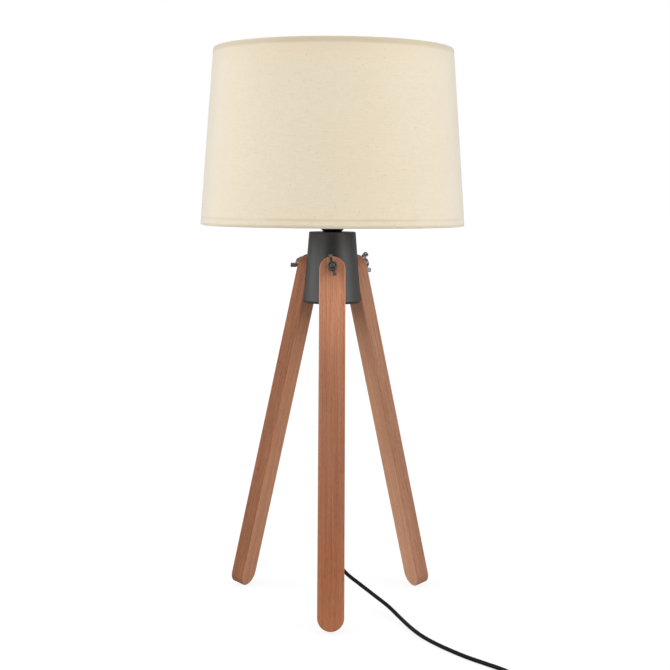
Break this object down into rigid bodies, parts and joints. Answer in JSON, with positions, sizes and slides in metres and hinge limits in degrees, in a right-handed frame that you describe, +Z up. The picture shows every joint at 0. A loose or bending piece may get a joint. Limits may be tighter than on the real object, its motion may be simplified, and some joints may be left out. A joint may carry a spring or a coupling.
{
  "type": "tripod table lamp",
  "caption": "Table lamp on a wooden tripod: legs bolted with wing nuts to a dark conical hub, tapered fabric drum shade, bulb in a screw holder, cord with in-line switch and plug.",
  "frame": {"origin": "on the surface that the lamp stands on, under the hub's upright axis", "axes": "+Z up along the hub's axis; -Y towards the front leg; +X to the right of someone who faces the front leg"},
  "size_m": [0.3339, 0.5319, 0.635],
  "materials": {
    "hub_paint": "matt powder coat, very dark grey",
    "leg_wood": "oiled reddish-brown hardwood, straight grain",
    "dark_steel": "dark gunmetal plating",
    "zinc_steel": "zinc plated",
    "holder_black": "black thermoset moulding",
    "holder_core": "off-white heat-proof insulator",
    "brass": "plain pressed brass",
    "bulb_metal": "bare pressed aluminium",
    "bulb_glass": "opal white glass",
    "shade_cloth": "cream linen weave",
    "shade_lining": "white laminated lining",
    "shade_wire": "white enamelled wire",
    "cord_black": "black flexible sheath",
    "grip_black": "black moulded nylon",
    "moulded_black": "black moulded plastic, satin",
    "pin_metal": "nickel plated"
  },
  "bodies": {
    "stand": {"hub_casting": "hub_paint", "hub_bottom_plate": "hub_paint", "threaded_tube": "zinc_steel", "tube_nut_upper": "zinc_steel", "tube_nut_lower": "zinc_steel", "cord_grip": "grip_black", "leg_front": "leg_wood", "leg_right": "leg_wood", "leg_left": "leg_wood", "bolt_front": "dark_steel", "bolt_right": "dark_steel", "bolt_left": "dark_steel", "holder_cap": "holder_black", "holder_sleeve": "holder_black", "holder_core": "holder_core", "holder_thread_shell": "brass", "holder_centre_contact": "brass", "holder_terminals": "brass", "shade_cover": "shade_cloth", "shade_liner": "shade_lining", "shade_top_wire": "shade_wire", "shade_frame": "shade_wire", "cord_inner": "cord_black", "cord_feed": "cord_black", "switch_base": "moulded_black", "switch_cover": "moulded_black", "switch_screws": "zinc_steel", "cord_link": "cord_black", "cord_coil": "cord_black", "cord_tail": "cord_black", "cord_tie": "grip_black", "plug_body": "moulded_black", "plug_pins": "pin_metal"},
    "washer_front": {"washer_front": "dark_steel"},
    "washer_right": {"washer_right": "dark_steel"},
    "washer_left": {"washer_left": "dark_steel"},
    "wing_nut_front": {"wing_nut_front": "dark_steel"},
    "wing_nut_right": {"wing_nut_right": "dark_steel"},
    "wing_nut_left": {"wing_nut_left": "dark_steel"},
    "clamp_ring": {"clamp_ring": "holder_black"},
    "bulb": {"bulb_contact": "bulb_metal", "bulb_cap": "bulb_metal", "bulb_glass": "bulb_glass"},
    "switch_rocker": {"switch_rocker": "moulded_black"}
  },
  "joints": [
    {"name": "washer_front_slide", "type": "slide", "parent": "stand", "child": "washer_front", "axis": [0, -0.9718, 0.236], "range_m": [0, 0.0024]},
    {"name": "wing_nut_front_turn", "type": "hinge", "parent": "washer_front", "child": "wing_nut_front", "pos_m": [0, -0.0216, 0.38829], "axis": [0, -0.9718, 0.236], "range_deg": [0, 1079]},
    {"name": "washer_right_slide", "type": "slide", "parent": "stand", "child": "washer_right", "axis": [0.8416, 0.4859, 0.236], "range_m": [0, 0.0024]},
    {"name": "wing_nut_right_turn", "type": "hinge", "parent": "washer_right", "child": "wing_nut_right", "pos_m": [0.01871, 0.0108, 0.38829], "axis": [0.8416, 0.4859, 0.236], "range_deg": [0, 1079]},
    {"name": "washer_left_slide", "type": "slide", "parent": "stand", "child": "washer_left", "axis": [-0.8416, 0.4859, 0.236], "range_m": [0, 0.0024]},
    {"name": "wing_nut_left_turn", "type": "hinge", "parent": "washer_left", "child": "wing_nut_left", "pos_m": [-0.01871, 0.0108, 0.38829], "axis": [-0.8416, 0.4859, 0.236], "range_deg": [0, 1079]},
    {"name": "clamp_ring_turn", "type": "hinge", "parent": "stand", "child": "clamp_ring", "pos_m": [0, 0, 0.465], "axis": [0, 0, 1], "range_deg": [0, 720]},
    {"name": "bulb_turn", "type": "hinge", "parent": "stand", "child": "bulb", "pos_m": [0, 0, 0.467], "axis": [0, 0, 1], "range_deg": [0, 900]},
    {"name": "switch_rocker_tilt", "type": "hinge", "parent": "stand", "child": "switch_rocker", "pos_m": [0.102, -0.312, 0.0118], "axis": [0, 1, 0], "range_deg": [0, 18]}
  ],
  "couplings": [
    {"joint": "washer_front_slide", "follows": "wing_nut_front_turn", "m_per_rad": 0.00012732},
    {"joint": "washer_right_slide", "follows": "wing_nut_right_turn", "m_per_rad": 0.00012732},
    {"joint": "washer_left_slide", "follows": "wing_nut_left_turn", "m_per_rad": 0.00012732}
  ]
}
